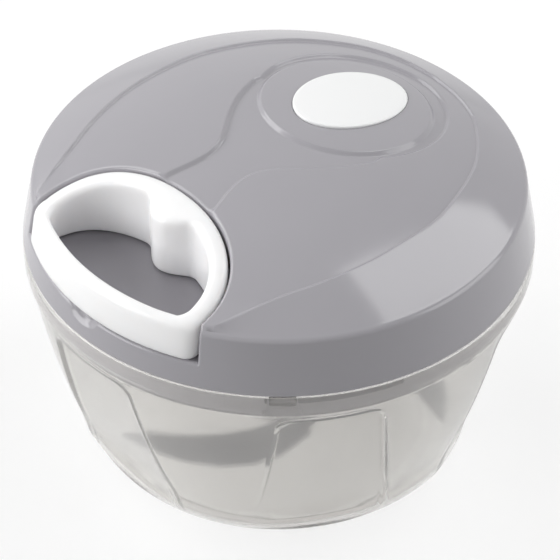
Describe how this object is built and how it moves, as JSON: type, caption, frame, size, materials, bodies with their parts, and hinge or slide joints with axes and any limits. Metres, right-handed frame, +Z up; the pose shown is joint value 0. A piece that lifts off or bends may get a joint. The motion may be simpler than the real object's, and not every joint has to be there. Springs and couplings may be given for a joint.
{
  "type": "manual food chopper",
  "caption": "Hand-pulled food chopper: clear panelled bowl, domed lid with a D-shaped pull handle docked in its rim, a sprung cord reel and stacked sickle blades on a centre pin.",
  "frame": {"origin": "middle of the foot ring, on the surface the bowl stands on", "axes": "+Z up along the blades' and the reel's axis; the pull handle is at -Y and is pulled along -Y; the oval badge is at +Y"},
  "size_m": [0.13, 0.13, 0.0954],
  "materials": {
    "lid_grey": "satin-gloss moulded ABS",
    "handle_white": "glossy moulded ABS",
    "clear_bowl": "clear polished",
    "inner_grey": "satin",
    "inner_white": "satin",
    "steel": "ground stainless",
    "seal_rubber": "soft matt",
    "cord_braid": "braided"
  },
  "bodies": {
    "bowl": {"bowl": "clear_bowl", "centre_pin": "steel"},
    "seal": {"sealing_ring": "seal_rubber"},
    "lid": {"lid_cover": "lid_grey", "badge": "handle_white", "lid_base_plate": "inner_grey", "cord_guide": "inner_white", "lid_screw_1": "steel", "lid_screw_2": "steel", "lid_screw_3": "steel", "lid_screw_4": "steel", "hub_bush": "inner_white", "reel_arbor": "steel", "arbor_washer": "steel", "arbor_screw": "steel", "spiral_spring": "steel"},
    "hub": {"drive_hub": "inner_white"},
    "reel": {"reel_drum": "inner_white", "reel_cap": "inner_white", "cord_winding": "cord_braid"},
    "pawl_1": {"clutch_pawl_1": "steel"},
    "pawl_2": {"clutch_pawl_2": "steel"},
    "pawl_3": {"clutch_pawl_3": "steel"},
    "handle": {"pull_handle": "handle_white", "cord_knot": "cord_braid", "pull_cord": "cord_braid"},
    "blades": {"blade_shaft": "steel", "blade_lower": "steel", "blade_middle": "steel", "blade_upper": "steel", "blade_spacer_1": "inner_white", "blade_spacer_2": "inner_white", "drive_head": "inner_white"}
  },
  "joints": [
    {"name": "lid_lift", "type": "slide", "parent": "bowl", "child": "seal", "axis": [0, 0, 1], "range_m": [0, 0.12]},
    {"name": "lid_twist", "type": "hinge", "parent": "seal", "child": "lid", "pos_m": [0, 0, 0.065], "axis": [0, 0, -1], "range_deg": [0, 22]},
    {"name": "handle_pull", "type": "slide", "parent": "lid", "child": "handle", "axis": [0, -1, 0], "range_m": [0, 0.4], "stiffness_N_per_m": 15, "springref_m": -0.2, "deforming": ["pull_cord"]},
    {"name": "reel_spin", "type": "hinge", "parent": "lid", "child": "reel", "pos_m": [0, 0, 0.0729], "axis": [0, 0, 1], "range_deg": [0, 1300], "deforming": ["spiral_spring"]},
    {"name": "hub_spin", "type": "hinge", "parent": "lid", "child": "hub", "pos_m": [0, 0, 0.0686], "axis": [0, 0, 1], "range_deg": [0, 1300]},
    {"name": "blade_spin", "type": "hinge", "parent": "bowl", "child": "blades", "pos_m": [0, 0, 0.0079], "axis": [0, 0, 1], "range_deg": [0, 1300]},
    {"name": "pawl_swing_1", "type": "hinge", "parent": "reel", "child": "pawl_1", "pos_m": [0.00719, 0.01474, 0.0729], "axis": [0, 0, -1], "range_deg": [0, 12]},
    {"name": "pawl_swing_2", "type": "hinge", "parent": "reel", "child": "pawl_2", "pos_m": [-0.01636, -0.00114, 0.0729], "axis": [0, 0, -1], "range_deg": [0, 12]},
    {"name": "pawl_swing_3", "type": "hinge", "parent": "reel", "child": "pawl_3", "pos_m": [0.00917, -0.0136, 0.0729], "axis": [0, 0, -1], "range_deg": [0, 12]}
  ],
  "couplings": [
    {"joint": "reel_spin", "follows": "handle_pull", "rad_per_m": 56.497},
    {"joint": "hub_spin", "follows": "handle_pull", "rad_per_m": 56.497},
    {"joint": "blade_spin", "follows": "handle_pull", "rad_per_m": 56.497}
  ]
}
